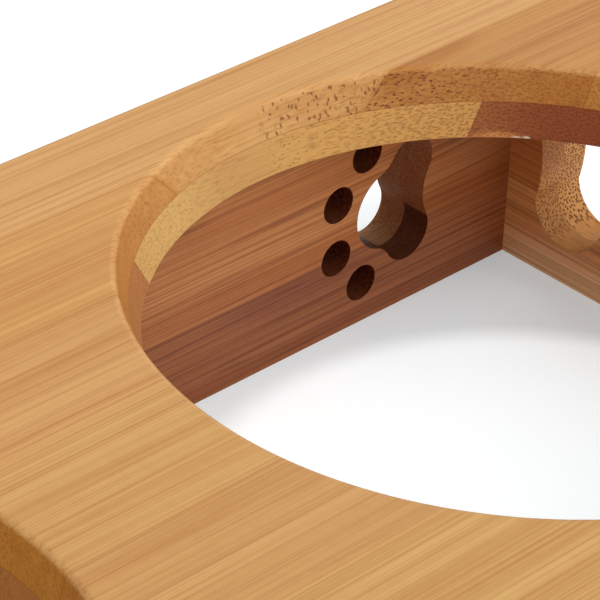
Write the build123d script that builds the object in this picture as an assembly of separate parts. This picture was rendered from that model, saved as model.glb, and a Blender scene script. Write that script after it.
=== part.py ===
from build123d import *
from math import cos, hypot, radians, sin, sqrt, tan
import os

# Raised feeding stand for two bowls, in glued bamboo strips, with its two steel bowls lifted out.
# Sizes are in millimetres. X runs along the stand, Y from the front to the back, Z up.
# The functions build the stand round its own middle, on the floor. The set is then moved as a
# whole, so that the origin is at the bottom centre of stand and bowls together.

# Bamboo: every board and wall is two plies thick, and a ply is strips glued edge to edge
ply_thickness = 6.0
strip_width = 23.2

# Top board, with a round tapered hole for each bowl
hole_radius = 63.5
hole_draft = 19.3
hole_spacing = 164.0
side_margin = 0.75
end_margin = 3.7
upper_ply_seam = 57.7
lower_ply_seam = 47.2
rim_bevel = 0.6
under_rim_bevel = 0.4

# Walls, and the rounding of the outside of the stand
wall_height = 43.5
wall_seam_height = 16.0
corner_round = 2.0
edge_round = 0.8

# Paw cut-out in the long walls: its toes point to the middle of the stand
paw_distance = 35.75
pad_radius = 8.1
heel_radius = 5.35
heel_back = 4.85
heel_apart = 7.3
heel_waist = 8.45
heel_turn = 30.0
toe_radius = 3.55
inner_toe_forward = 13.05
inner_toe_apart = 5.5
outer_toe_forward = 6.45
outer_toe_apart = 13.3

# Bone cut-out in the end walls, also a hold for the hand
bone_half_length = 57.2
bone_lobe_radius = 7.9
bone_lobe_apart = 6.5
bone_end_notch = 0.9
bone_shaft_half = 6.4
bone_neck_radius = 5.0
bone_end_turn = 25.0

# Hidden dowels: upright ones from the long walls into the board, level ones at the corners
wall_dowel_radius = 3.0
wall_dowel_in_wall = 15.0
wall_dowel_in_board = 8.0
wall_dowel_from_corner = 15.2
wall_dowel_count = 5
corner_dowel_radius = 2.0
corner_dowel_in_end_wall = 12.0
corner_dowel_in_long_wall = 8.0
corner_dowel_from_edge = 3.7
glue_gap = 0.1
dowel_end_gap = 0.5

# Steel bowls, standing on the floor in front of their holes
steel = 0.8
bowl_clearance = 1.5
bowl_height = 42.0
bowl_side_angle = 20.9
bowl_rim_width = 6.0
bowl_lip_drop = 3.0
bowl_base_round = 9.0
bowl_neck_round = 2.0
bowl_lip_round = 1.8
bowl_foot_width = 9.0
bowl_foot_lift = 0.9
bowl_gap = 14.0

# Worked out from the sizes above
board_thickness = 2 * ply_thickness
wall_thickness = 2 * ply_thickness
stand_height = wall_height + board_thickness
inner_half_depth = hole_radius + side_margin
outer_half_depth = inner_half_depth + wall_thickness
inner_half_length = hole_spacing / 2 + hole_radius + end_margin
outer_half_length = inner_half_length + wall_thickness
hole_slope = tan(radians(hole_draft))
wall_middle = wall_height / 2
bowl_rim_radius = hole_radius + bowl_rim_width
bowl_distance = outer_half_depth + bowl_gap + bowl_rim_radius
set_shift = (bowl_distance + bowl_rim_radius - outer_half_depth) / 2
overcut = 1.0
# Turns the line where a cone's surface closes away from the seams between strips
cone_turn = 30.0


def block(x, y, z):
    """A box between two limits along each axis."""
    size = Box(x[1] - x[0], y[1] - y[0], z[1] - z[0])
    return Pos(sum(x) / 2, sum(y) / 2, sum(z) / 2) * size


def stand_envelope():
    """The outside of the whole stand as one solid, with its corners and top edge rounded."""
    plan = RectangleRounded(2 * outer_half_length, 2 * outer_half_depth, corner_round)
    solid = extrude(plan, stand_height)
    top = solid.faces().sort_by(Axis.Z)[-1]
    return fillet(top.edges(), edge_round)


def seams_between(known_seam, low, high):
    """Every seam of a ply between two limits, one strip width apart and through a known one."""
    seam = known_seam - int((known_seam - low) / strip_width) * strip_width
    found = []
    while seam < high:
        if seam > low:
            found.append(seam)
        seam += strip_width
    return found


def cut_into_strips(ply, along_y, limits, known_seam):
    """The separate strips of a ply, divided across Y on the board or across Z on a wall."""
    reach = (-2 * outer_half_length, 2 * outer_half_length)
    low, high = limits
    edges = [low - overcut] + seams_between(known_seam, low, high) + [high + overcut]
    strips = []
    for start, end in zip(edges, edges[1:]):
        span = (start, end)
        slab = block(reach, span, reach) if along_y else block(reach, reach, span)
        strips += (ply & slab).solids()
    return strips


def hole_cutter(x):
    """The tapered hole for a bowl, run past both faces of the board."""
    height = board_thickness + 2 * overcut
    top = hole_radius + overcut * hole_slope
    cone = Rot(0, 0, cone_turn) * Cone(top - height * hole_slope, top, height)
    return Pos(x, 0, stand_height + overcut - height / 2) * cone


def board_ply(envelope, low, high, known_seam, eased_face, bevel):
    """One ply of the top board, with both holes cut, their rim eased on one face, as strips."""
    reach = (-2 * outer_half_length, 2 * outer_half_length)
    ply = envelope & block(reach, reach, (low, high))
    for x in (-hole_spacing / 2, hole_spacing / 2):
        ply -= hole_cutter(x)
    face = ply.faces().sort_by(Axis.Z)[eased_face]
    rims = [edge for wire in face.inner_wires() for edge in wire.edges()]
    ply = chamfer(rims, bevel)
    for dowel in long_wall_dowels(1, glue_gap) + long_wall_dowels(-1, glue_gap):
        ply -= dowel
    limits = (-outer_half_depth, outer_half_depth)
    return cut_into_strips(ply, True, limits, known_seam)


def arc_meeting(centre_a, radius_a, centre_b, radius_b):
    """The point on the left of the line from A to B where their two circles cross."""
    dx = centre_b[0] - centre_a[0]
    dy = centre_b[1] - centre_a[1]
    apart = hypot(dx, dy)
    along = (apart**2 + radius_a**2 - radius_b**2) / (2 * apart)
    across = sqrt(radius_a**2 - along**2)
    x = centre_a[0] + (along * dx - across * dy) / apart
    y = centre_a[1] + (along * dy + across * dx) / apart
    return x, y


def pad_face():
    """The paw's pad, its round front towards -X and its two-lobed heel towards +X."""
    heel = (heel_back, heel_apart)
    cusp = arc_meeting((0, 0), pad_radius, heel, heel_radius)
    top = (heel_back, heel_apart + heel_radius)
    turn = radians(heel_turn)
    back = (heel_back + heel_radius * cos(turn), heel_apart - heel_radius * sin(turn))
    half = [ThreePointArc(cusp, top, back)]
    other_half = [mirror(edge, Plane.XZ) for edge in half]
    front = ThreePointArc(cusp, (-pad_radius, 0), (cusp[0], -cusp[1]))
    waist = ThreePointArc(back, (heel_waist, 0), (back[0], -back[1]))
    return make_face([*half, *other_half, front, waist])


def toe_places():
    """Where the paw's four toes are, from the middle of its pad."""
    inner = [(-inner_toe_forward, side * inner_toe_apart) for side in (-1, 1)]
    outer = [(-outer_toe_forward, side * outer_toe_apart) for side in (-1, 1)]
    return inner + outer


def paw_cutters(wall_side):
    """Pad and toes of both paws, through the long wall on one side of the stand."""
    shapes = [pad_face()] + [Pos(x, y) * Circle(toe_radius) for x, y in toe_places()]
    depth = wall_thickness + 2 * overcut
    solids = []
    for half in (-1, 1):
        distance = half * (hole_spacing / 2 + paw_distance)
        near = wall_side * (inner_half_depth - overcut)
        plane = Plane(
            origin=(distance, near, wall_middle), x_dir=(half, 0, 0), z_dir=(0, wall_side, 0)
        )
        solids += [extrude(plane * shape, depth) for shape in shapes]
    return solids


def bone_quarter():
    """A quarter of the bone's outline, from the middle of its shaft to the middle of its end."""
    lobe_x = bone_half_length - bone_lobe_radius
    rise = bone_shaft_half + bone_neck_radius - bone_lobe_apart
    reach = bone_neck_radius + bone_lobe_radius
    run = sqrt(reach**2 - rise**2)
    shaft_end = (lobe_x - run, bone_shaft_half)
    share = bone_lobe_radius / reach
    on_lobe = (lobe_x - run * share, bone_lobe_apart + rise * share)
    turn = radians(bone_end_turn)
    end_x = lobe_x + bone_lobe_radius * cos(turn)
    end_y = bone_lobe_apart - bone_lobe_radius * sin(turn)
    top = (lobe_x, bone_lobe_apart + bone_lobe_radius)
    return [
        Line((0, bone_shaft_half), shaft_end),
        TangentArc(shaft_end, on_lobe, tangent=(1, 0)),
        ThreePointArc(on_lobe, top, (end_x, end_y)),
    ], (end_x, end_y)


def bone_face():
    """The whole bone outline, lying along X."""
    quarter, (end_x, end_y) = bone_quarter()
    half = quarter + [mirror(edge, Plane.XZ) for edge in quarter]
    notch = (bone_half_length - bone_end_notch, 0)
    half.append(ThreePointArc((end_x, end_y), notch, (end_x, -end_y)))
    return make_face([*half, *[mirror(edge, Plane.YZ) for edge in half]])


def bone_cutter(end_side):
    """The bone, through the end wall at one end of the stand."""
    near = end_side * (inner_half_length - overcut)
    plane = Plane(origin=(near, 0, wall_middle), x_dir=(0, 1, 0), z_dir=(end_side, 0, 0))
    return extrude(plane * bone_face(), wall_thickness + 2 * overcut)


def dowel_at(centre, axis, radius, before, after, gap):
    """A dowel along an axis, reaching before and after its joint. A gap makes its hole."""
    end_gap = dowel_end_gap if gap else 0
    length = before + after + 2 * end_gap
    rod = Pos(0, 0, (after - before) / 2) * Cylinder(radius + gap, length)
    return Plane(origin=centre, z_dir=axis) * rod


def long_wall_dowels(wall_side, gap=0.0):
    """The upright dowels that join one long wall to the board."""
    y = wall_side * (inner_half_depth + wall_thickness / 2)
    last = inner_half_length + wall_thickness / 2 - wall_dowel_from_corner
    pitch = 2 * last / (wall_dowel_count - 1)
    dowels = []
    for number in range(wall_dowel_count):
        centre = (number * pitch - last, y, wall_height)
        dowels.append(
            dowel_at(
                centre, (0, 0, 1), wall_dowel_radius, wall_dowel_in_wall, wall_dowel_in_board, gap
            )
        )
    return dowels


def corner_dowels(end_side, gap=0.0):
    """The level dowels that join one end wall to both long walls."""
    x = end_side * (inner_half_length + wall_thickness / 2)
    dowels = []
    for side in (-1, 1):
        for z in (corner_dowel_from_edge, wall_height - corner_dowel_from_edge):
            centre = (x, side * inner_half_depth, z)
            dowels.append(
                dowel_at(
                    centre,
                    (0, side, 0),
                    corner_dowel_radius,
                    corner_dowel_in_end_wall,
                    corner_dowel_in_long_wall,
                    gap,
                )
            )
    return dowels


def wall_ply(panel, cutters, known_seam):
    """A ply of a wall with its cut-outs and dowel holes, as strips."""
    for cutter in cutters:
        panel -= cutter
    return cut_into_strips(panel, False, (0, wall_height), known_seam)


def long_wall_plies(envelope, side):
    """Inner and outer ply of the front or back wall, which runs the whole length."""
    cutters = paw_cutters(side) + long_wall_dowels(side, glue_gap)
    cutters += corner_dowels(-1, glue_gap) + corner_dowels(1, glue_gap)
    reach = (-2 * outer_half_length, 2 * outer_half_length)
    faces = [inner_half_depth, inner_half_depth + ply_thickness, outer_half_depth]
    seams = [wall_seam_height, wall_seam_height + strip_width / 2]
    plies = []
    for near, far, seam in zip(faces, faces[1:], seams):
        span = sorted((side * near, side * far))
        panel = envelope & block(reach, span, (0, wall_height))
        plies.append(wall_ply(panel, cutters, seam))
    return plies


def end_wall_plies(envelope, side):
    """Inner and outer ply of an end wall, which stands between the long walls."""
    cutters = [bone_cutter(side)] + corner_dowels(side, glue_gap)
    across = (-inner_half_depth, inner_half_depth)
    faces = [inner_half_length, inner_half_length + ply_thickness, outer_half_length]
    seams = [wall_seam_height, wall_seam_height + strip_width / 2]
    plies = []
    for near, far, seam in zip(faces, faces[1:], seams):
        span = sorted((side * near, side * far))
        panel = envelope & block(span, across, (0, wall_height))
        plies.append(wall_ply(panel, cutters, seam))
    return plies


def bowl_section():
    """Half of a bowl's section: foot, side, rim and rolled lip, in one thickness of steel."""
    slope = tan(radians(bowl_side_angle))
    level_steel = steel / cos(radians(bowl_side_angle))
    mouth = hole_radius - bowl_clearance
    rim_under = bowl_height - steel
    base = mouth - rim_under * slope
    foot = base - bowl_foot_width
    rim = bowl_rim_radius
    lip_end = rim_under - bowl_lip_drop
    outside = [
        (0, bowl_foot_lift),
        (foot - bowl_foot_lift, bowl_foot_lift),
        (foot, 0),
        (base, 0),
        (mouth, rim_under),
        (rim - steel, rim_under),
        (rim - steel, lip_end),
    ]
    inside = [
        (rim, lip_end),
        (rim, bowl_height),
        (mouth + steel * slope - level_steel, bowl_height),
        (base + steel * slope - level_steel, steel),
        (foot, steel),
        (foot - bowl_foot_lift, bowl_foot_lift + steel),
        (0, bowl_foot_lift + steel),
    ]
    foot_round = bowl_foot_lift
    outside_rounds = [foot_round, foot_round, bowl_base_round, bowl_neck_round]
    outside_rounds += [bowl_lip_round - steel]
    inside_rounds = [bowl_lip_round, bowl_neck_round + steel, bowl_base_round - steel]
    inside_rounds += [foot_round, foot_round]
    line = [FilletPolyline(*outside, radius=outside_rounds)]
    line += [Line(outside[-1], inside[0])]
    line += [FilletPolyline(*inside, radius=inside_rounds)]
    line += [Line(inside[-1], outside[0])]
    edges = [edge for piece in line for edge in piece.edges()]
    return Plane.XZ * make_face(edges)


def bowl(x):
    """A bowl on the floor, in front of its hole."""
    return Pos(x, -bowl_distance, 0) * revolve(bowl_section(), Axis.Z)


def all_nodes():
    """Every node of the set, by name, as a list of its separate solids."""
    envelope = stand_envelope()
    ply_line = stand_height - ply_thickness
    nodes = {
        "upper_ply": board_ply(envelope, ply_line, stand_height, upper_ply_seam, -1, rim_bevel),
        "lower_ply": board_ply(envelope, wall_height, ply_line, lower_ply_seam, 0, under_rim_bevel),
    }
    for name, side in (("front_wall", -1), ("back_wall", 1)):
        inner, outer = long_wall_plies(envelope, side)
        nodes[name + "_inner_ply"] = inner
        nodes[name + "_outer_ply"] = outer
        nodes[name + "_dowels"] = long_wall_dowels(side)
    for name, side in (("left_end_wall", -1), ("right_end_wall", 1)):
        inner, outer = end_wall_plies(envelope, side)
        nodes[name + "_inner_ply"] = inner
        nodes[name + "_outer_ply"] = outer
        nodes[name + "_dowels"] = corner_dowels(side)
    nodes["left_bowl"] = [bowl(-hole_spacing / 2)]
    nodes["right_bowl"] = [bowl(hole_spacing / 2)]
    return nodes


os.makedirs("parts", exist_ok=True)
for node, solids in all_nodes().items():
    placed = [Pos(0, set_shift, 0) * solid for solid in solids]
    whole = placed[0] if len(placed) == 1 else Compound(placed)
    export_step(whole, f"parts/{node}.step")
    print(node, len(placed), "solids", round(sum(solid.volume for solid in placed)), "mm3")
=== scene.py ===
# %% [markdown]
# # A raised feeding stand in glued bamboo
#
# The stand is a low table with two tapered round holes, made of bamboo strips that are glued into
# boards two plies thick. Its two steel bowls are lifted out and stand on the floor in front.
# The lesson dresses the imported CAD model: the frame is loaded once, and every piece that is
# modelled here stands exactly where the CAD piece that it replaces is.

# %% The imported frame
import bpy
from math import hypot, pi, radians, tan
from mathutils import Matrix, Vector


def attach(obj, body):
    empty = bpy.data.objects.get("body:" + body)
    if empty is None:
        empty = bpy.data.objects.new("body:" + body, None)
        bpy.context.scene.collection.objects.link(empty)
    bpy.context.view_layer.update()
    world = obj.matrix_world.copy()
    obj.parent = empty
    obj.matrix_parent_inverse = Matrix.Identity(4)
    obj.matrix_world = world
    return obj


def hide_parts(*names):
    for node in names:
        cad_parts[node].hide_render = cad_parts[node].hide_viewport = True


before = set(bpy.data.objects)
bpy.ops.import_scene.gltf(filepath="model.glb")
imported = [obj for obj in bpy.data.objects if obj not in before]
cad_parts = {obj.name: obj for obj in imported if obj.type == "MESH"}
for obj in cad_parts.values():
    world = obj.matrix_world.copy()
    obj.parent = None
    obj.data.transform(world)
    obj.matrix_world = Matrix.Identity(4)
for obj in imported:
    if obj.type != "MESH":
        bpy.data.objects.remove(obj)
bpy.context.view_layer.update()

# %% [markdown]
# ## Camera
#
# The photograph looks down into the right-hand hole from close by, with a long lens, so that
# parallel edges hardly meet. The camera is turned by three directions: its own right, its own up
# and the way it looks. A lens of 180 mm keeps the same perspective.

# %% The camera at the photograph's place
scene = bpy.context.scene
eye = Vector((-0.2161, -0.1759, 0.3010))
look = Vector((0.5882, 0.5965, -0.5461))
right = Vector((0.7268, -0.6860, 0.0336))
up = right.cross(look)
camera_data = bpy.data.cameras.new("close_view")
camera_data.sensor_width = 36
camera_data.lens = 180.5
camera_data.clip_start = 0.01
camera = bpy.data.objects.new("close_view", camera_data)
scene.collection.objects.link(camera)
turn = Matrix((right, up, -look)).transposed()
camera.matrix_world = Matrix.Translation(eye) @ turn.to_4x4()
scene.camera = camera
scene.view_settings.view_transform = "Standard"
print("camera", [round(v, 4) for v in camera.location])

# %% [markdown]
# ## Light and floor
#
# The lit round patch on the floor lies almost straight under the hole, and its edge is about 8 mm
# soft. So the main light is high overhead and about 9 degrees wide: a sun lamp with that angle
# gives such an edge. The sides of the hole and the walls tell the rest: those that face the front
# and the right are bright, and the others dim. So the white studio round the stand is brightest
# there, and fades to the other side. The floor and the surroundings are also drawn white for the
# camera and for reflections, without adding light.

# %% Helpers for colours and nodes
def linear(code):
    """An sRGB hex colour as linear values, with alpha."""
    values = [int(code[i : i + 2], 16) / 255 for i in (1, 3, 5)]
    return [v / 12.92 if v <= 0.04045 else ((v + 0.055) / 1.055) ** 2.4 for v in values] + [1.0]


def add(tree, kind, inputs=(), **settings):
    """Adds a node with its settings. An input is a value, a socket or another node."""
    node = tree.nodes.new(kind)
    for key, value in settings.items():
        setattr(node, key, value)
    for key, value in dict(inputs).items():
        if isinstance(value, bpy.types.Node):
            # Of a node's outputs, only those of its chosen mode are in use
            value = next(socket for socket in value.outputs if socket.enabled)
        if isinstance(value, bpy.types.NodeSocket):
            tree.links.new(value, node.inputs[key])
        else:
            node.inputs[key].default_value = value
    return node


def new_material(name):
    """An empty material and its node tree."""
    material = bpy.data.materials.new(name)
    material.use_nodes = True
    material.node_tree.nodes.clear()
    return material, material.node_tree


def seen_directly(tree):
    """1 for rays from the camera and for reflected or refracted ones, 0 for lighting rays."""
    path = add(tree, "ShaderNodeLightPath").outputs
    seen = path["Is Camera Ray"]
    for kind in ("Is Glossy Ray", "Is Transmission Ray"):
        seen = add(tree, "ShaderNodeMath", {0: seen, 1: path[kind]}, operation="MAXIMUM")
    return seen


# %% The overhead light and the white surroundings
studio_bright, studio_dim = 1.70, 0.28
bright_side = Vector((0.45, -0.85, 0.1)).normalized()
overhead_level, overhead_angle = 0.28, radians(9)
overhead_from = Vector((-0.18, 0.02, 1))
lamp_data = bpy.data.lights.new("overhead", "SUN")
lamp_data.energy = overhead_level * pi
lamp_data.angle = overhead_angle
lamp = bpy.data.objects.new("overhead", lamp_data)
scene.collection.objects.link(lamp)
lamp.rotation_euler = overhead_from.to_track_quat("Z", "Y").to_euler()

world = bpy.data.worlds.new("white_studio")
scene.world = world
world.use_nodes = True
tree = world.node_tree
tree.nodes.clear()

direction = add(tree, "ShaderNodeTexCoord").outputs["Generated"]
towards = add(
    tree, "ShaderNodeVectorMath", {0: direction, 1: bright_side}, operation="DOT_PRODUCT"
)
fading = add(
    tree,
    "ShaderNodeMapRange",
    {
        "Value": towards,
        "From Min": -0.4,
        "From Max": 0.9,
        "To Min": studio_dim,
        "To Max": studio_bright,
    },
    interpolation_type="SMOOTHSTEP",
)
strength = add(
    tree, "ShaderNodeMapRange", {"Value": seen_directly(tree), "To Min": fading, "To Max": 1.0}
)
shine = add(tree, "ShaderNodeBackground", {"Color": linear("#FFFFFF"), "Strength": strength})
add(tree, "ShaderNodeOutputWorld", {"Surface": shine})
print("lamp", round(lamp_data.energy, 2), "studio", studio_dim, "to", studio_bright)

# %% The floor
# Matt white paper: it has no marks of its own, so it shows only shadows and the edge of the light
own_glow = 0.30
bpy.ops.object.select_all(action="DESELECT")
bpy.ops.mesh.primitive_plane_add(size=8, location=(0, 0, 0))
floor = bpy.context.object
floor.name = "floor"
paper, tree = new_material("white_paper_floor")
glow = add(tree, "ShaderNodeMath", {0: seen_directly(tree), 1: own_glow}, operation="MULTIPLY")
surface = add(
    tree,
    "ShaderNodeBsdfPrincipled",
    {
        "Base Color": linear("#F4F4F4"),
        "Roughness": 1.0,
        "Specular IOR Level": 0.0,
        "Emission Color": linear("#DCF6FF"),
        "Emission Strength": glow,
    },
)
add(tree, "ShaderNodeOutputMaterial", {"Surface": surface})
floor.data.materials.append(paper)
print("floor", floor.dimensions[:])

# %% [markdown]
# ## Sizes of the stand
#
# The numbers are the CAD model's, in millimetres, so that each modelled piece fits the node that
# it replaces. The stand's middle is 76.5 mm behind the origin, because the bowls stand in front.
# The board's seams are counted from the stand's middle, and the walls' seams from the floor. The
# walls' joints are where their two plies meet, and a tool through both plies goes 1 mm past them.

# %% Sizes in millimetres
mm = 0.001
middle_y, bowl_y = 76.5, -83.25
ply = 6.0
half_length, half_depth = 161.2, 76.25
inner_half_length, inner_half_depth = 149.2, 64.25
wall_height, board_top = 43.5, 55.5
hole_x, hole_radius, hole_slope = 82.0, 63.5, tan(radians(19.3))
corner_round, edge_round = 2.0, 0.8
rim_round, under_rim_round, cut_round = 1.0, 0.4, 0.3
paw_x, paw_z = hole_x + 35.75, wall_height / 2
strip_width = 23.2
upper_seam, lower_seam = 57.7, 47.2
inner_seam, outer_seam = 16.0, 4.4
long_wall_joint, end_wall_joint = inner_half_depth + ply, inner_half_length + ply
through_both = 2 * ply + 2
slack = 0.01
print("stand:", 2 * half_length, "x", 2 * half_depth, "x", board_top, "mm")


# %% [markdown]
# ## Modelling helpers
#
# Each board starts as a block and is cut by round tools, as a router would cut it. Then the edges
# that a hand would touch are rounded, and the glued ones are left sharp.

# %% Helpers for selecting, blocks and rods
def pick(*pieces):
    """Makes these the only selected objects, with the first one active."""
    bpy.ops.object.select_all(action="DESELECT")
    for piece in pieces:
        piece.select_set(True)
    bpy.context.view_layer.objects.active = pieces[0]
    return pieces[0]


def settle(piece):
    """Puts a piece's place and size into its mesh, with its object at the origin."""
    pick(piece)
    bpy.ops.object.transform_apply(location=True, rotation=True, scale=True)
    return piece


def block(name, x, y, z):
    """A block between two limits along each axis. Y is counted from the stand's middle."""
    bpy.ops.object.select_all(action="DESELECT")
    sides = [(min(v), max(v)) for v in (x, [value + middle_y for value in y], z)]
    centre = [(low + high) / 2 * mm for low, high in sides]
    size = [(high - low) * mm for low, high in sides]
    bpy.ops.mesh.primitive_cube_add(size=1, location=centre, scale=size)
    piece = bpy.context.object
    piece.name = name
    return settle(piece)


turns = {"X": (0, pi / 2, 0), "Y": (pi / 2, 0, 0), "Z": (0, 0, 0)}


def rod(centre, radius, axis, length, corners=96, taper=0.0):
    """A round tool along an axis. A taper makes its lower end narrower by that much."""
    bpy.ops.object.select_all(action="DESELECT")
    x, y, z = centre
    bpy.ops.mesh.primitive_cone_add(
        vertices=corners,
        radius1=(radius - taper) * mm,
        radius2=radius * mm,
        depth=length * mm,
        location=(x * mm, (y + middle_y) * mm, z * mm),
        rotation=turns[axis],
    )
    return settle(bpy.context.object)


# %% Helpers for cutting and joining
def combine(piece, tools, operation):
    """Cuts the piece by each tool, or adds each tool to it, and removes the tools."""
    for tool in tools:
        change = piece.modifiers.new("change", "BOOLEAN")
        change.object = tool
        change.operation = operation
        change.solver = "EXACT"
        pick(piece)
        bpy.ops.object.modifier_apply(modifier=change.name)
        bpy.data.objects.remove(tool)
    return piece


def gather(tools):
    """Several tools that don't touch, as one."""
    pick(*tools)
    bpy.ops.object.join()
    return bpy.context.object


def copy_of(piece, name):
    """A copy with its own mesh."""
    twin = piece.copy()
    twin.data = piece.data.copy()
    twin.name = name
    scene.collection.objects.link(twin)
    return twin


# %% Helpers for edges and shading
def score(piece, places, axis):
    """Divides the faces at each place along an axis, so that no face will have a hole."""
    pick(piece)
    bpy.ops.object.mode_set(mode="EDIT")
    for place in places:
        point = [place * mm if name == axis else 0 for name in "XYZ"]
        normal = [float(name == axis) for name in "XYZ"]
        bpy.ops.mesh.select_all(action="SELECT")
        bpy.ops.mesh.bisect(plane_co=point, plane_no=normal)
    bpy.ops.object.mode_set(mode="OBJECT")


def ease(piece, width, segments, chosen, upright=False):
    """Rounds the sharp edges whose two ends are both chosen by their place in millimetres.

    With upright set, only those that stand straight up are rounded.
    """
    pick(piece)
    bpy.ops.object.mode_set(mode="EDIT")
    bpy.ops.mesh.select_mode(type="EDGE")
    bpy.ops.mesh.select_all(action="DESELECT")
    bpy.ops.mesh.edges_select_sharp(sharpness=radians(20))
    bpy.ops.object.mode_set(mode="OBJECT")
    mesh = piece.data
    places = [Vector((v.co.x, v.co.y - middle_y * mm, v.co.z)) / mm for v in mesh.vertices]
    wanted = []
    for edge in mesh.edges:
        start, end = [places[i] for i in edge.vertices]
        leaning = (end - start).xy.length > slack
        if edge.select and chosen(*start) and chosen(*end) and not (upright and leaning):
            wanted.append(edge)
    for part in (*mesh.polygons, *mesh.edges, *mesh.vertices):
        part.select = False
    for edge in wanted:
        edge.select = True
        for i in edge.vertices:
            mesh.vertices[i].select = True
    bpy.ops.object.mode_set(mode="EDIT")
    bpy.ops.mesh.bevel(offset=width * mm, segments=segments, affect="EDGES", clamp_overlap=True)
    bpy.ops.object.mode_set(mode="OBJECT")
    return len(wanted)


def near(value, target):
    """Whether two sizes in millimetres are the same."""
    return abs(value - target) < slack


def shade(piece):
    """Shades a piece smoothly round its curves and flat on its large faces."""
    pick(piece)
    bpy.ops.object.shade_smooth_by_angle(angle=radians(32))
    weigh = piece.modifiers.new("weigh", "WEIGHTED_NORMAL")
    weigh.keep_sharp = True
    bpy.ops.object.modifier_apply(modifier=weigh.name)
    return piece


def dress(piece, node, material, body="stand"):
    """Gives a piece its finish, puts it on its body and lets it stand for its CAD node."""
    piece.data.materials.clear()
    piece.data.materials.append(material)
    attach(piece, body)
    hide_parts(node)
    return piece


# %% [markdown]
# ## Lacquered bamboo
#
# Bamboo has no rings. It is a pale tissue with dark fibre bundles that all run along the stalk, so
# a long face shows fine streaks and a cut across shows dots. One pattern in space, stretched along
# the grain, gives both by itself. Each strip comes from another stalk: it has a tone of its own,
# and the pattern jumps at every seam. The strips are steamed, which browns them, and the board is
# sanded and coated with a satin lacquer.

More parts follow.
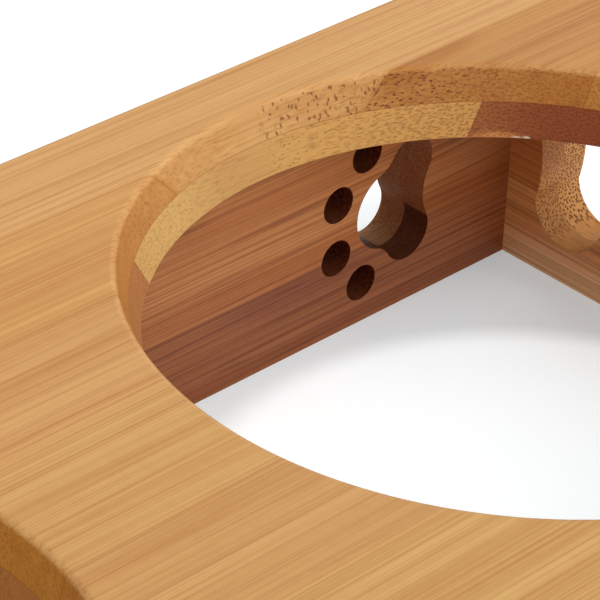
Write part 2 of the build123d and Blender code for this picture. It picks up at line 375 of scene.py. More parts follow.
# %% The bamboo material
def bamboo(
    name,
    axes,
    seam,
    tones,
    soaked,
    bands=1.0,
    lines=0.3,
    dots=(1.0, 0.6),
    veins=0.2,
    torn=(),
    aged_and_shaded=(),
    stains_and_painted_light=(),
    sheen=0.3,
    joint=None,
    fibre="#8F6246",
):
    """Lacquered bamboo. The axes are the ones along the grain, across the strips and through them.

    Strips are numbered from the seam given: 0 is above it and -1 below. The tones are their
    colours from -1 up, and soaked is what a cut across the grain multiplies them by. Bands, lines
    and veins are how strong the broad stripes, the fine lines and the few bold ones are. The dots
    are their spacing in millimetres and how dark they are. Torn fibres are a strip's number, their
    spacing along, across and through it, and how dark they are. A stain is a strip's number, a
    middle, half sizes and a colour, and that list also holds patches of painted light and painted
    shade. An ageing patch is given in the same way, and changes the tone under the bands and not
    over them; that list also holds painted shade. The sheen is how much the lacquer reflects. The
    joint is the height where two plies meet, and the fibre's colour is what its lines multiply the
    tone by.
    """
    material, tree = new_material(name)
    coordinates = add(tree, "ShaderNodeTexCoord").outputs
    shift = [-seam if axis == axes[1] else 0.0 for axis in "XYZ"]
    from_seam = add(
        tree,
        "ShaderNodeVectorMath",
        {0: coordinates["Object"], 1: (1 / mm, 1 / mm, 1 / mm), 2: shift},
        operation="MULTIPLY_ADD",
    )
    parts = add(tree, "ShaderNodeSeparateXYZ", {0: from_seam}).outputs
    along, across, through = [parts[axis] for axis in axes]

    # Each strip's tone comes from a ramp of even steps
    count = len(tones)
    rank = add(
        tree,
        "ShaderNodeMapRange",
        {"Value": across, "From Min": -strip_width, "From Max": (count - 1) * strip_width},
    )
    tone = add(tree, "ShaderNodeValToRGB", {0: rank})
    ramp = tone.color_ramp
    ramp.interpolation = "CONSTANT"
    for index, code in enumerate(tones):
        stop = ramp.elements[index] if index < 2 else ramp.elements.new(index / count)
        stop.position = index / count
        stop.color = linear(code)

    # The pattern jumps along the grain and through the strip at every seam
    strip = add(tree, "ShaderNodeMath", {0: across, 1: strip_width}, operation="SNAP")
    jump = add(tree, "ShaderNodeMath", {0: strip, 1: 16.3, 2: along}, operation="MULTIPLY_ADD")
    drop = add(tree, "ShaderNodeMath", {0: strip, 1: 1.03, 2: through}, operation="MULTIPLY_ADD")
    moved = add(tree, "ShaderNodeCombineXYZ", {0: jump, 1: across, 2: drop})

    def streaks(length, width, detail):
        """A noise drawn out along the grain, whose specks have this size in millimetres."""
        step = (1 / length, 1 / width, 1 / width)
        drawn_out = add(tree, "ShaderNodeVectorMath", {0: moved, 1: step}, operation="MULTIPLY")
        return add(
            tree, "ShaderNodeTexNoise", {"Vector": drawn_out, "Scale": 1.0, "Detail": detail}
        )

    def only_in(number, amount):
        """An amount inside the strip of this number, and 0 outside, for that is another stalk."""
        here = add(
            tree, "ShaderNodeMath", {0: strip, 1: number * strip_width, 2: 1.0}, operation="COMPARE"
        )
        return add(tree, "ShaderNodeMath", {0: amount, 1: here}, operation="MULTIPLY")

    # Bands of the tissue, about 9, 3 and 1 mm wide, and one mottle that has no direction
    layers = ((300, 9.0, 0.9), (240, 3.0, 1.0), (120, 1.0, 0.8), (2.5, 2.5, 0.25))
    middle = sum(weight for length, width, weight in layers) / 2
    reach = 0.9 / bands
    total = 0.0
    for length, width, weight in layers:
        total = add(
            tree,
            "ShaderNodeMath",
            {0: streaks(length, width, 2.0), 1: weight, 2: total},
            operation="MULTIPLY_ADD",
        )
    band = add(
        tree,
        "ShaderNodeMapRange",
        {"Value": total, "From Min": middle - reach, "From Max": middle + reach},
    )

    def with_spots(colour, spots):
        """Lays spots over a colour. Their edges are frayed by the bands."""
        for number, centre, half, code in spots:
            offset = add(
                tree, "ShaderNodeVectorMath", {0: from_seam, 1: centre}, operation="SUBTRACT"
            )
            scaled = add(tree, "ShaderNodeVectorMath", {0: offset, 1: half}, operation="DIVIDE")
            away = add(tree, "ShaderNodeVectorMath", {0: scaled}, operation="LENGTH")
            frayed = add(
                tree, "ShaderNodeMath", {0: band, 1: 0.5, 2: away}, operation="MULTIPLY_ADD"
            )
            inside = add(
                tree,
                "ShaderNodeMapRange",
                {"Value": frayed, "From Min": 1.35, "From Max": 0.7},
                interpolation_type="SMOOTHSTEP",
            )
            spot = only_in(number, inside)
            colour = add(
                tree, "ShaderNodeMix", {0: spot, 6: colour, 7: linear(code)}, data_type="RGBA"
            )
        return colour

    # A stalk ages unevenly, and painted shade is laid in the same way; the bands go on over both. A
    # stain where it had a joint hides them, and so do patches of painted light and painted shade.
    tone = with_spots(tone, aged_and_shaded)
    browned = add(
        tree,
        "ShaderNodeMix",
        {0: 1.0, 6: tone, 7: linear("#D0B08C")},
        data_type="RGBA",
        blend_type="MULTIPLY",
    )
    colour = add(tree, "ShaderNodeMix", {0: band, 6: browned, 7: tone}, data_type="RGBA")
    colour = with_spots(colour, stains_and_painted_light)

    # How far a face looks along the grain, and how upright it stands in its board
    facing = add(tree, "ShaderNodeSeparateXYZ", {0: coordinates["Normal"]}).outputs
    end_grain = add(tree, "ShaderNodeMath", {0: facing[axes[0]]}, operation="ABSOLUTE")
    flat = add(tree, "ShaderNodeMath", {0: facing[axes[2]]}, operation="ABSOLUTE")
    upright = add(tree, "ShaderNodeMapRange", {"Value": flat, "From Min": 0.8, "From Max": 0.5})

    # Dark fibre bundles seen from the side: fine lines everywhere, and stronger ones where a second
    # pattern passes its middle value, but not on a cut, where they would be rings
    fibres = streaks(70, 0.42, 3.0)
    line = add(
        tree,
        "ShaderNodeMapRange",
        {"Value": fibres, "From Min": 0.48, "From Max": 0.72, "To Max": lines},
    )
    wave = add(tree, "ShaderNodeMath", {0: streaks(150, 1.5, 1.0), 1: 0.5}, operation="SUBTRACT")
    apart = add(tree, "ShaderNodeMath", {0: wave}, operation="ABSOLUTE")
    most = add(
        tree,
        "ShaderNodeMapRange",
        {"Value": end_grain, "From Min": 0.3, "From Max": 0.05, "To Max": veins},
    )
    vein = add(
        tree,
        "ShaderNodeMapRange",
        {"Value": apart, "From Min": 0.035, "From Max": 0.005, "To Max": most},
    )
    line = add(tree, "ShaderNodeMath", {0: line, 1: vein}, operation="MAXIMUM")

    # Glue shows as a hair line between the strips, and between the plies where a cut goes through
    glued = add(tree, "ShaderNodeMath", {0: across, 1: strip_width / 2}, operation="PINGPONG")
    if joint:
        above = add(tree, "ShaderNodeMath", {0: through, 1: joint}, operation="SUBTRACT")
        off = add(tree, "ShaderNodeMath", {0: above}, operation="ABSOLUTE")
        glued = add(tree, "ShaderNodeMath", {0: glued, 1: off}, operation="MINIMUM")
    hair = add(
        tree,
        "ShaderNodeMapRange",
        {"Value": glued, "From Min": 0.13, "From Max": 0.05, "To Max": 0.42},
    )
    line = add(tree, "ShaderNodeMath", {0: line, 1: hair}, operation="MAXIMUM")
    colour = add(
        tree,
        "ShaderNodeMix",
        {0: line, 6: colour, 7: linear(fibre)},
        data_type="RGBA",
        blend_type="MULTIPLY",
    )

    # The lacquer soaks into a cut across the grain and makes it deeper in colour, but not on the
    # rounding of a rim, which is left pale as a painted highlight
    soak_but_not_highlit_rims = add(tree, "ShaderNodeMath", {0: end_grain, 1: upright}, operation="MULTIPLY")
    colour = add(
        tree,
        "ShaderNodeMix",
        {0: soak_but_not_highlit_rims, 6: colour, 7: linear(soaked)},
        data_type="RGBA",
        blend_type="MULTIPLY",
    )

    # The same bundles seen from their ends, as dots
    spacing, darkness = dots
    ends = add(tree, "ShaderNodeCombineXYZ", {0: across, 1: drop})
    cells = add(
        tree,
        "ShaderNodeTexVoronoi",
        {"Vector": ends, "Scale": 1 / spacing, "Randomness": 0.85},
        voronoi_dimensions="2D",
    )
    dot = add(
        tree,
        "ShaderNodeMapRange",
        {"Value": cells, "From Min": 0.37, "From Max": 0.18, "To Max": darkness},
        interpolation_type="SMOOTHSTEP",
    )
    cut = add(
        tree,
        "ShaderNodeMapRange",
        {"Value": end_grain, "From Min": 0.1, "From Max": 0.55, "To Min": 0.04},
    )
    dark = add(tree, "ShaderNodeMath", {0: dot, 1: cut}, operation="MULTIPLY")

    # Torn fibres: the cutter turns one way, so in a round hole it lifts them in two quarters and
    # presses them smooth in the others. They tear where it runs at a shallow angle to the grain.
    if torn:
        lift = add(
            tree, "ShaderNodeMath", {0: facing[axes[0]], 1: facing[axes[1]]}, operation="MULTIPLY"
        )
        lifted = add(tree, "ShaderNodeMapRange", {"Value": lift, "From Max": 0.05})
        shallow = add(
            tree, "ShaderNodeMapRange", {"Value": end_grain, "From Min": 0.75, "From Max": 0.5}
        )
        smooth = add(tree, "ShaderNodeMapRange", {"Value": lifted, "To Min": 0.3, "To Max": 1.0})
        dark = add(tree, "ShaderNodeMath", {0: dark, 1: smooth}, operation="MULTIPLY")
        ragged = add(tree, "ShaderNodeTexNoise", {"Vector": moved, "Scale": 1.3, "Detail": 1.0})
        bent = add(
            tree,
            "ShaderNodeVectorMath",
            {0: ragged.outputs["Color"], 1: (0.5, 0.5, 0.5), 2: moved},
            operation="MULTIPLY_ADD",
        )
    for number, spacings, darkest in torn:
        cell = add(tree, "ShaderNodeVectorMath", {0: bent, 1: spacings}, operation="DIVIDE")
        pits = add(tree, "ShaderNodeTexVoronoi", {"Vector": cell, "Scale": 1.0})
        pit = add(
            tree,
            "ShaderNodeMapRange",
            {"Value": pits, "From Min": 0.36, "From Max": 0.18, "To Max": darkest},
        )
        pit = only_in(number, pit)
        for share in (lifted, shallow, upright):
            pit = add(tree, "ShaderNodeMath", {0: pit, 1: share}, operation="MULTIPLY")
        dark = add(tree, "ShaderNodeMath", {0: dark, 1: pit}, operation="MAXIMUM")
    bundle_end = linear("#6E3006")
    colour = add(tree, "ShaderNodeMix", {0: dark, 6: colour, 7: bundle_end}, data_type="RGBA")

    # Satin lacquer over pores that are slightly sunk
    height = add(tree, "ShaderNodeMath", {0: line, 1: -0.12, 2: 1.0}, operation="MULTIPLY_ADD")
    height = add(tree, "ShaderNodeMath", {0: height, 1: dark}, operation="SUBTRACT")
    bump = add(tree, "ShaderNodeBump", {"Height": height, "Strength": 0.5, "Distance": 0.5 * mm})
    gloss = add(tree, "ShaderNodeMath", {0: fibres, 1: 0.15, 2: 0.36}, operation="MULTIPLY_ADD")
    surface = add(
        tree,
        "ShaderNodeBsdfPrincipled",
        {"Base Color": colour, "Roughness": gloss, "Specular IOR Level": sheen, "Normal": bump},
    )
    add(tree, "ShaderNodeOutputMaterial", {"Surface": surface})
    return material


# %% The tones of each ply
# In the board, strip 4 ends at the seam behind the holes' middle, and strip 5 begins there
first_upper = middle_y + upper_seam - 5 * strip_width
first_lower = middle_y + lower_seam - 5 * strip_width
upper_tones = ["#D8AD6C", "#D9B06E", "#D7AA6C", "#DBB170", "#D9AA6C", "#D9A864", "#DFB273"]
lower_tones = ["#CFA464", "#CC9B60", "#D4AA6A", "#C39059", "#D1A766", "#C89158", "#D7AC70"]
board_upper = bamboo(
    "lacquered_bamboo_upper_ply",
    "XYZ",
    first_upper,
    upper_tones,
    "#E8CA7C",
    bands=0.95,
    lines=0.5,
    dots=(0.7, 0.2),
    torn=[(5, (0.75, 0.85, 1.7), 0.68), (4, (1.3, 0.85, 0.55), 0.85)],
    # The darker patch at the right of strip 4 is partly the strip's own tone and partly painted
    # shade on the hole's right-hand side
    aged_and_shaded=[(4, (155, 122 - first_upper, 55), (64, 60, 60), "#CF9B57")],
    stains_and_painted_light=[(4, (117, 133.5 - first_upper, 55), (16, 3.8, 6), "#B07430")],
    joint=board_top - ply,
    fibre="#CB9820",
)
board_lower = bamboo(
    "lacquered_bamboo_lower_ply",
    "XYZ",
    first_lower,
    lower_tones,
    "#F6E2BE",
    bands=0.3,
    lines=0.35,
    dots=(0.6, 0.38),
    veins=0.1,
    torn=[(5, (1.2, 0.8, 0.5), 0.3), (4, (1.2, 0.8, 0.5), 0.35)],
    stains_and_painted_light=[
        # The dark red-brown patch on strip 4 at the right is partly the strip's own tone and partly
        # painted shade on the hole's right-hand cut
        (4, (150, 112 - first_lower, 46), (46, 30, 26), "#8E491E"),
        (4, (121, 119.5 - first_lower, 43.2), (6, 6, 1.8), "#CE8F55"),
        (4, (124.2, 117.8 - first_lower, 43.4), (1.0, 1.3, 0.8), "#D8CCC0"),
        (4, (125.5, 116.8 - first_lower, 43.4), (0.9, 1.1, 0.8), "#E4DAD0"),
        (5, (42, 125 - first_lower, 46), (36, 36, 26), "#D3AC69"),
        (5, (104, 130 - first_lower, 46), (30, 30, 26), "#D09F59"),
    ],
    joint=board_top - ply,
)
long_tones = ["#B07147", "#D08E56", "#CE8B53"]
# The lowest strip's pale tone is partly the strip's own and partly painted light, for the bounce
# from the lit floor on the inner end wall
end_tones = ["#F0B074", "#D18A4E", "#DF9A5E"]
long_inner = bamboo(
    "lacquered_bamboo_long_wall_inner",
    "XZY",
    inner_seam,
    long_tones,
    "#D8B080",
    bands=1.6,
    lines=0.6,
    veins=0.5,
    aged_and_shaded=[
        # Painted shade: darker towards the corner with the end wall
        (0, (152, 140, 14), (36, 30, 40), "#BA7948"),
        (-1, (95, 140, -1.5), (22, 30, 5), "#A16444"),
    ],
    sheen=0.2,
)
long_outer = bamboo(
    "lacquered_bamboo_long_wall_outer",
    "XZY",
    outer_seam,
    long_tones,
    "#D8B080",
    bands=1.2,
    lines=0.5,
)
end_inner = bamboo(
    "lacquered_bamboo_end_wall_inner",
    "YZX",
    inner_seam,
    end_tones,
    "#FFFFE4",
    bands=1.7,
    lines=0.7,
    dots=(0.65, 0.8),
    veins=0.3,
    # Painted light: a pale band along the foot of the inner end wall, for the bounce from the lit
    # floor
    stains_and_painted_light=[(-1, (0, middle_y, -16), (400, 120, 9), "#FFD6A0")],
)
end_outer = bamboo(
    "lacquered_bamboo_end_wall_outer",
    "YZX",
    outer_seam,
    end_tones,
    "#FFE8B8",
    bands=1.2,
    lines=0.5,
    dots=(0.85, 0.8),
)

# %% [markdown]
# The drill that cuts the toes runs hot in these small holes and scorches them, and painted shade
# darkens them further, so the toes are nearly black inside. The pad's faces are plain bamboo, with
# painted shade low on the inner ply, which makes the paws read clearly. The bone's cut faces get a
# paler copy of the bamboo, whose paleness is painted light from the bright side coming through the
# bone, and there its bundles show as sharp dots, so that one sees that it is bamboo and not veneer.

# %% Scorched and shaded bamboo for the paws, and a paler, lit bamboo for the bone
# The bone's cut faces are a paler copy of the bamboo, not darkened by soak: painted light from the
# bright side, which comes through the bone
cut_tones = ["#D6A260", "#EBB56E", "#EBB56E"]
clean_lit_inner = bamboo(
    "clean_cut_lit_bamboo_inner",
    "YZX",
    inner_seam,
    cut_tones,
    "#FFFFFF",
    bands=0.8,
    dots=(0.62, 0.7),
    # Painted shade: the upper part of the bone's far end, under the board
    stains_and_painted_light=[(0, (150, 132, 14), (9, 16, 15), "#BE7E42")],
    sheen=0.15,
)
clean_lit_outer = bamboo(
    "clean_cut_lit_bamboo_outer",
    "YZX",
    outer_seam,
    cut_tones,
    "#FFFFFF",
    bands=0.8,
    dots=(0.7, 0.9),
    sheen=0.15,
)
# The toes' near-black is partly scorch and partly painted shade
toe_tones = ["#764630"] * 3
scorched_shaded_toe = bamboo(
    "scorched_shaded_bamboo_toe", "XZY", inner_seam, toe_tones, "#C09080", lines=0.5, sheen=0.03
)
# The pad's faces are plain bamboo, and on the inner ply its lowest strip, #6A4430, is painted shade
pad_inner_painted_shade, pad_outer = [
    bamboo(
        f"bamboo_pad_cut_{layer}",
        "XZY",
        seam,
        pad_tones,
        "#D8B098",
        lines=0.5,
        dots=(0.7, 0.35),
        sheen=0.04,
    )
    for layer, seam, pad_tones in (
        ("inner", inner_seam, ["#6A4430", "#BC9068", "#BC9068"]),
        ("outer", outer_seam, ["#BE9870"] * 3),
    )
]
print("bamboo materials:", [m.name for m in bpy.data.materials if "bamboo" in m.name])

# %% [markdown]
# ## The board
#
# The top is two plies of strips, glued flat on each other, and both holes are cut through the two
# at once with a tapered cutter. Each ply is a block, cut by the same two cones.

# %% The two plies of the top board
def board_ply(name, low, high):
    """One ply of the board with both tapered holes."""
    piece = block(name, (-half_length, half_length), (-half_depth, half_depth), (low, high))
    ease(piece, corner_round, 6, lambda x, y, z: True, upright=True)
    score(piece, [middle_y], "Y")
    past = 1.0  # how far the cutter goes beyond the board's two faces
    length = board_top - wall_height + 2 * past
    widest = hole_radius + past * hole_slope
    for side in (-1, 1):
        centre = (side * hole_x, 0, (board_top + wall_height) / 2)
        tool = rod(centre, widest, "Z", length, corners=256, taper=length * hole_slope)
        combine(piece, [tool], "DIFFERENCE")
    return piece


def in_hole(x, y, radius):
    """Whether a place is on a hole's edge of a given radius."""
    return near(hypot(abs(x) - hole_x, y), radius)


def on_outside(x, y):
    """Whether a place is on the outer edge of the board, its rounded corners included."""
    reach = corner_round + slack
    return abs(x) > half_length - reach or abs(y) > half_depth - reach


upper = board_ply("upper_ply_bamboo", board_top - ply, board_top)
rounded = ease(upper, edge_round, 4, lambda x, y, z: near(z, board_top) and on_outside(x, y))
print("outer top edges rounded:", rounded)
rounded = ease(
    upper, rim_round, 4, lambda x, y, z: near(z, board_top) and in_hole(x, y, hole_radius)
)
print("edges of the holes' rims rounded:", rounded)
dress(shade(upper), "upper_ply", board_upper)

lower = board_ply("lower_ply_bamboo", wall_height, board_top - ply)
under_radius = hole_radius - (board_top - wall_height) * hole_slope
rounded = ease(
    lower,
    under_rim_round,
    3,
    lambda x, y, z: near(z, wall_height) and in_hole(x, y, under_radius),
)
print("lower edges of the holes rounded:", rounded)
dress(shade(lower), "lower_ply", board_lower)

# %% [markdown]
# ## The paw cutter
#
# The paw in the long walls is five round cuts: four toes, and a pad that is one large round with
# two smaller ones as its heels. The waist between these two is the edge of a larger round, and a
# round of 5 mm blends each heel into the pad. Blocks fill what the rounds leave between them. The
# tools that touch differ in length, so that their ends don't lie in one plane.

# %% The tool that cuts one paw
# A place is counted from the pad's middle: outwards along the wall, and apart from its mid height
pad_radius = 8.1
heel_place, heel_radius = (4.85, 7.3), 5.35
blend_place, blend_radius = (-4.141, 12.429), 4.99
waist_place, waist_radius = (19.32, 0), 10.87
toe_places, toe_radius = ((-13.05, 5.5), (-6.45, 13.3)), 3.55


def mirrored_rods(at, outward, apart, *size):
    """Two round tools, one as far above a cut-out's middle as the other is below it."""
    return [rod(at(outward, sign * apart), *size) for sign in (-1, 1)]


def paw_tool(half):
    """The four toes and the pad, through both plies of the back wall, in one half of it."""
    long = through_both

    def at(outward, apart):
        return (half * (paw_x + outward), long_wall_joint, paw_z + apart)

    def shorter(less):
        return (long_wall_joint - long / 2 + less, long_wall_joint + long / 2 - less)

    pad = rod(at(0, 0), pad_radius, "Y", long, 160)
    filler_sides = (half * paw_x, half * (paw_x + 9.483))
    filler = block("filler", filler_sides, shorter(0.3), (paw_z - 4.625, paw_z + 4.625))
    heels = mirrored_rods(at, *heel_place, heel_radius, "Y", long - 0.3, 96)
    web_sides = (half * (paw_x - 2.56), half * (paw_x + 0.2))
    webs = [
        block("web", web_sides, shorter(0.5), (paw_z + sign * 6, paw_z + sign * 9.95))
        for sign in (-1, 1)
    ]
    combine(pad, heels + [filler] + webs, "UNION")
    blends = mirrored_rods(at, *blend_place, blend_radius, "Y", long + 2, 96)
    waist = rod(at(*waist_place), waist_radius, "Y", long + 2, 192)
    combine(pad, blends + [waist], "DIFFERENCE")
    toes = []
    for place in toe_places:
        toes += mirrored_rods(at, *place, toe_radius, "Y", long, 64)
    return gather([pad] + toes)


paws = gather([paw_tool(-1), paw_tool(1)])
print("tool for both paws:", len(paws.data.polygons), "faces")

# %% [markdown]
# ## The walls
#
# The stand is the same seen from either end, so each wall is modelled once, and its twin is a copy
# turned half round. The faces inside the cut-outs get their own finish, by their place.

# %% Helpers for the twins and the cut faces
def half_turned(piece, name):
    """A copy, turned half round about the upright line through the stand's middle."""
    twin = copy_of(piece, name)
    turn = Matrix.Translation((0, middle_y * mm, 0)) @ Matrix.Rotation(pi, 4, "Z")
    twin.data.transform(turn @ Matrix.Translation((0, -middle_y * mm, 0)))
    return twin


def finish_cuts(wall, finishes, finish_at):
    """Adds finishes to a wall and gives each face the one at its place, 0 being the wall's own."""
    for finish in finishes:
        wall.data.materials.append(finish)
    for face in wall.data.polygons:
        face.material_index = finish_at(face.center / mm, face.normal)
    return sum(face.material_index > 0 for face in wall.data.polygons)


# %% The long walls
def paw_finish_at(place, normal):
    """1 for a face inside a toe, 2 for one inside a pad, and 0 for the others."""
    outward, apart = abs(place.x) - paw_x, abs(place.z - paw_z)
    in_paw = -17 < outward < 13 and apart < 17.5
    if abs(normal.y) > 0.5 or not in_paw:
        return 0
    from_toe = min(hypot(outward - x, apart - z) for x, z in toe_places)
    return 1 if from_toe < toe_radius + 0.15 else 2


toe_rows = sorted({sign * apart for outward, apart in toe_places for sign in (-1, 0, 1)})
for layer, near_y, far_y, open_face, material, pad_finish in (
    ("inner", inner_half_depth, long_wall_joint, inner_half_depth, long_inner, pad_inner_painted_shade),
    ("outer", long_wall_joint, half_depth, half_depth, long_outer, pad_outer),
):
    back = block(
        f"back_wall_{layer}_bamboo", (-half_length, half_length), (near_y, far_y), (0, wall_height)
    )
    if layer == "outer":
        ease(back, corner_round, 6, lambda x, y, z: near(y, half_depth), upright=True)
    score(back, [paw_z + row for row in toe_rows], "Z")
    combine(back, [copy_of(paws, "paws")], "DIFFERENCE")
    ease(back, cut_round, 3, lambda x, y, z: near(y, open_face) and z < wall_height - slack)
    shade(back)
    front = half_turned(back, f"front_wall_{layer}_bamboo")
    for wall, side in ((back, "back"), (front, "front")):
        dress(wall, f"{side}_wall_{layer}_ply", material)
        paw_faces = finish_cuts(wall, (scorched_shaded_toe, pad_finish), paw_finish_at)
        print(wall.name, len(wall.data.polygons), "faces,", paw_faces, "of them scorched")
bpy.data.objects.remove(paws)

# %% [markdown]
# ## The bone cutter
#
# The end walls have one long bone, which is also the hold for a hand. It is a straight slot with
# two round lobes at each end. A large round leaves a notch between the lobes, and small rounds
# soften the neck where slot and lobes meet.

# %% The tool that cuts the bone
# A place is counted from the wall's middle: outwards along the wall, and apart from its mid height
slot_half_length, slot_half_height = 37.37, 6.4
lobe_place, lobe_radius = (49.3, 6.5), 7.9
neck_place, neck_radius = (37.37, 11.4), 5.0
notch_place, notch_radius = (87.6, 0), 31.3


def bone_tool():
    """The bone, through both plies of the right-hand end wall."""
    long = through_both

    def box(name, less, along, apart):
        sides = (end_wall_joint - long / 2 + less, end_wall_joint + long / 2 - less)
        return block(name, sides, along, (paw_z - apart, paw_z + apart))

    bone = box("slot", 0, (-slot_half_length, slot_half_length), slot_half_height)
    for end in (-1, 1):

        def at(outward, apart):
            return (end_wall_joint, end * outward, paw_z + apart)

        neck = box("neck", 0.2, (end * 37.2, end * 49.4), 9.5)
        tip = box("tip", 0.4, (end * 48, end * 56.46), 3.161)
        lobes = mirrored_rods(at, *lobe_place, lobe_radius, "X", long - 1, 128)
        combine(bone, [neck, tip] + lobes, "UNION")
        rounds = mirrored_rods(at, *neck_place, neck_radius, "X", long + 2, 96)
        notch = rod(at(*notch_place), notch_radius, "X", long + 2, 192)
        combine(bone, rounds + [notch], "DIFFERENCE")
    return bone


bone = bone_tool()
print("tool for the bone:", len(bone.data.polygons), "faces")


# %% The end walls
def bone_finish_at(place, normal):
    """1 for a face inside the bone, and 0 for the others."""
    inside = abs(place.y - middle_y) < 57.5 and abs(place.z - paw_z) < 15
    return int(inside and abs(normal.x) < 0.5)


for layer, near_x, far_x, open_face, material, finish in (
    ("inner", inner_half_length, end_wall_joint, inner_half_length, end_inner, clean_lit_inner),
    ("outer", end_wall_joint, half_length, half_length, end_outer, clean_lit_outer),
):
    between = (-inner_half_depth, inner_half_depth)
    end_wall = block(f"right_end_{layer}_bamboo", (near_x, far_x), between, (0, wall_height))
    score(end_wall, [paw_z], "Z")
    combine(end_wall, [copy_of(bone, "bone")], "DIFFERENCE")

    def free_edge(x, y, z):
        glued = z > wall_height - slack or abs(y) > inner_half_depth - slack
        return near(x, open_face) and not glued

    ease(end_wall, cut_round, 3, free_edge)
    shade(end_wall)
    left = half_turned(end_wall, f"left_end_{layer}_bamboo")
    for wall, side in ((end_wall, "right"), (left, "left")):
        dress(wall, f"{side}_end_wall_{layer}_ply", material)
        clean = finish_cuts(wall, (finish,), bone_finish_at)
        print(wall.name, len(wall.data.polygons), "faces,", clean, "of them cut clean")
bpy.data.objects.remove(bone)

# %% [markdown]
# ## Spun stainless steel
#
# A bowl of this kind is pressed or spun from one disc of stainless steel 0.8 mm thick. The tool
# leaves fine rings round the axis, and a light brushing makes the sheen satin. So the material is
# a metal with rings that only change its roughness and tilt it a little. The rings are drawn
# 0.5 mm apart, coarser than the real ones, so that they show.

# %% The steel material
def spun_steel(name, centre_x):
    """Satin stainless steel with fine rings round a bowl's own axis."""
    material, tree = new_material(name)
    place = add(tree, "ShaderNodeTexCoord").outputs["Object"]
    centre = (centre_x * mm, bowl_y * mm, 0)
    from_axis = add(tree, "ShaderNodeVectorMath", {0: place, 1: centre}, operation="SUBTRACT")
    flat = add(tree, "ShaderNodeVectorMath", {0: from_axis, 1: (1, 1, 0)}, operation="MULTIPLY")
    radius = add(tree, "ShaderNodeVectorMath", {0: flat}, operation="LENGTH")
    height = add(tree, "ShaderNodeSeparateXYZ", {0: place}).outputs["Z"]
    along = add(tree, "ShaderNodeMath", {0: radius, 1: height}, operation="ADD")
    step = add(tree, "ShaderNodeMath", {0: along, 1: 0.5 * mm}, operation="DIVIDE")
    rings = add(
        tree, "ShaderNodeTexNoise", {"W": step, "Scale": 1.0, "Detail": 3.0}, noise_dimensions="1D"
    )
    smudges = add(tree, "ShaderNodeTexNoise", {"Vector": place, "Scale": 30.0, "Detail": 3.0})
    gloss = add(tree, "ShaderNodeMath", {0: rings, 1: 0.10, 2: 0.20}, operation="MULTIPLY_ADD")
    gloss = add(tree, "ShaderNodeMath", {0: smudges, 1: 0.08, 2: gloss}, operation="MULTIPLY_ADD")
    bump = add(tree, "ShaderNodeBump", {"Height": rings, "Strength": 0.12, "Distance": 0.05 * mm})
    surface = add(
        tree,
        "ShaderNodeBsdfPrincipled",
        {"Base Color": linear("#C6C5C2"), "Metallic": 1.0, "Roughness": gloss, "Normal": bump},
    )
    add(tree, "ShaderNodeOutputMaterial", {"Surface": surface})
    return material


# %% [markdown]
# ## The bowls
#
# Each bowl is one sheet, so only its middle surface is modelled, ring by ring from the foot to the
# rolled rim, as the steel is drawn up over its former. The sharp turns are then rounded, and the
# sheet gets its 0.8 mm at the end. The foot's flat ring keeps the middle off the floor.

# %% One bowl from the foot to the rolled rim
# Each ring is a radius and a height: the bottom and the foot, the wall's ends, then the rim's
# outer edge and the roll under it. Two of the turns between them are rounded.
steel = 0.8
foot_edge, foot_round = (45.9, 0.4), 5.9
wall_end, wall_end_round = (61.7, 41.6), 1.6
rim_roll = [(68.2, 41.6), (69.1, 40.9), (69.1, 38.9), (68.6, 37.9), (67.6, 37.4), (66.6, 37.7)]
bowl_rings = [(36.7, 1.3), (37.5, 0.4), foot_edge, wall_end, *rim_roll, (66.1, 38.6)]


def bowl(name, centre_x):
    """A bowl with a rolled rim, standing on the floor."""
    bpy.ops.object.select_all(action="DESELECT")
    centre = (centre_x * mm, bowl_y * mm, bowl_rings[0][1] * mm)
    bpy.ops.mesh.primitive_circle_add(
        vertices=144, radius=bowl_rings[0][0] * mm, fill_type="NGON", location=centre
    )
    piece = bpy.context.object
    piece.name = name
    bpy.ops.object.mode_set(mode="EDIT")
    bpy.ops.mesh.select_mode(type="EDGE")
    bpy.ops.mesh.select_all(action="SELECT")
    bpy.ops.mesh.region_to_loop()
    for (radius, height), (wider, higher) in zip(bowl_rings, bowl_rings[1:]):
        bpy.ops.mesh.extrude_edges_move(
            TRANSFORM_OT_translate={"value": (0, 0, (higher - height) * mm)}
        )
        grow = wider / radius
        bpy.ops.transform.resize(value=(grow, grow, 1), center_override=centre)
    bpy.ops.object.mode_set(mode="OBJECT")
    return settle(piece)


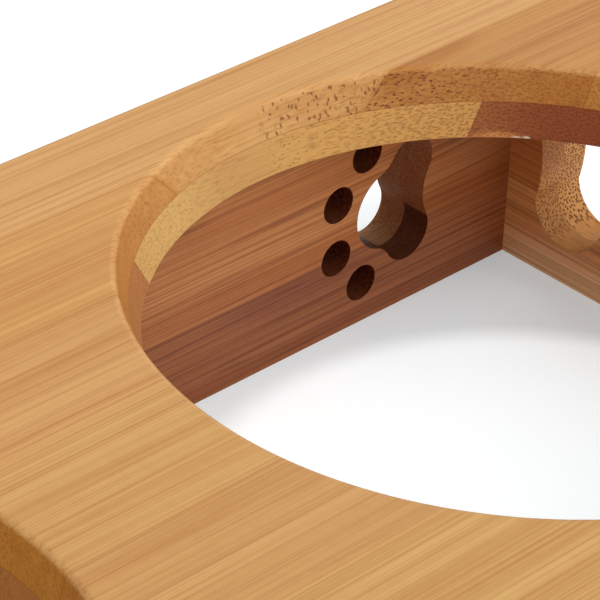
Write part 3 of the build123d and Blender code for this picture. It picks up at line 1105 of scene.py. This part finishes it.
def round_turn(piece, centre_x, radius, height, width, segments):
    """Rounds the ring of edges at one radius and height of a bowl."""
    pick(piece)
    mesh = piece.data
    for polygon in mesh.polygons:
        polygon.select = False
    for vertex in mesh.vertices:
        x, y, z = vertex.co / mm
        away = hypot(x - centre_x, y - bowl_y)
        vertex.select = abs(away - radius) < 0.05 and abs(z - height) < 0.05
    for edge in mesh.edges:
        edge.select = all(mesh.vertices[i].select for i in edge.vertices)
    bpy.ops.object.mode_set(mode="EDIT")
    bpy.ops.mesh.bevel(offset=width * mm, segments=segments, affect="EDGES")
    bpy.ops.object.mode_set(mode="OBJECT")


# %% Both bowls
for side, word in ((-1, "left"), (1, "right")):
    centre_x = side * hole_x
    piece = bowl(word + "_steel_bowl", centre_x)
    round_turn(piece, centre_x, *foot_edge, foot_round, 10)
    round_turn(piece, centre_x, *wall_end, wall_end_round, 5)
    thick = piece.modifiers.new("thick", "SOLIDIFY")
    thick.thickness = steel * mm
    thick.offset = 0
    pick(piece)
    bpy.ops.object.modifier_apply(modifier=thick.name)
    bpy.ops.object.mode_set(mode="EDIT")
    bpy.ops.mesh.select_all(action="SELECT")
    bpy.ops.mesh.normals_make_consistent(inside=False)
    bpy.ops.object.mode_set(mode="OBJECT")
    shade(piece)
    finish = spun_steel("spun_stainless_steel_" + word, centre_x)
    dress(piece, word + "_bowl", finish, word + "_bowl_body")
    low = min(v.co.z for v in piece.data.vertices)
    high = max(v.co.z for v in piece.data.vertices)
    print(word, "bowl from", round(low / mm, 2), "to", round(high / mm, 2), "mm")

# %% [markdown]
# ## Dowels
#
# The hidden dowels hold walls and board together. They are turned from plain beech, a pale pinkish
# wood with short dark flecks, and they stay as the CAD made them.

# %% Beech for the dowels
beech, tree = new_material("turned_beech_dowel")
place = add(tree, "ShaderNodeTexCoord").outputs["Object"]
fleck_place = add(tree, "ShaderNodeMapping", {"Vector": place, "Scale": (900, 900, 250)})
flecks = add(tree, "ShaderNodeTexNoise", {"Vector": fleck_place, "Scale": 1.0, "Detail": 2.0})
fleck_tone, wood_tone = linear("#B98A62"), linear("#DDB892")
colour = add(tree, "ShaderNodeMix", {0: flecks, 6: fleck_tone, 7: wood_tone}, data_type="RGBA")
surface = add(tree, "ShaderNodeBsdfPrincipled", {"Base Color": colour, "Roughness": 0.6})
add(tree, "ShaderNodeOutputMaterial", {"Surface": surface})
for node_name, node_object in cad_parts.items():
    if node_name.endswith("_dowels"):
        node_object.data.materials.clear()
        node_object.data.materials.append(beech)
print("beech on", [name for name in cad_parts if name.endswith("_dowels")])
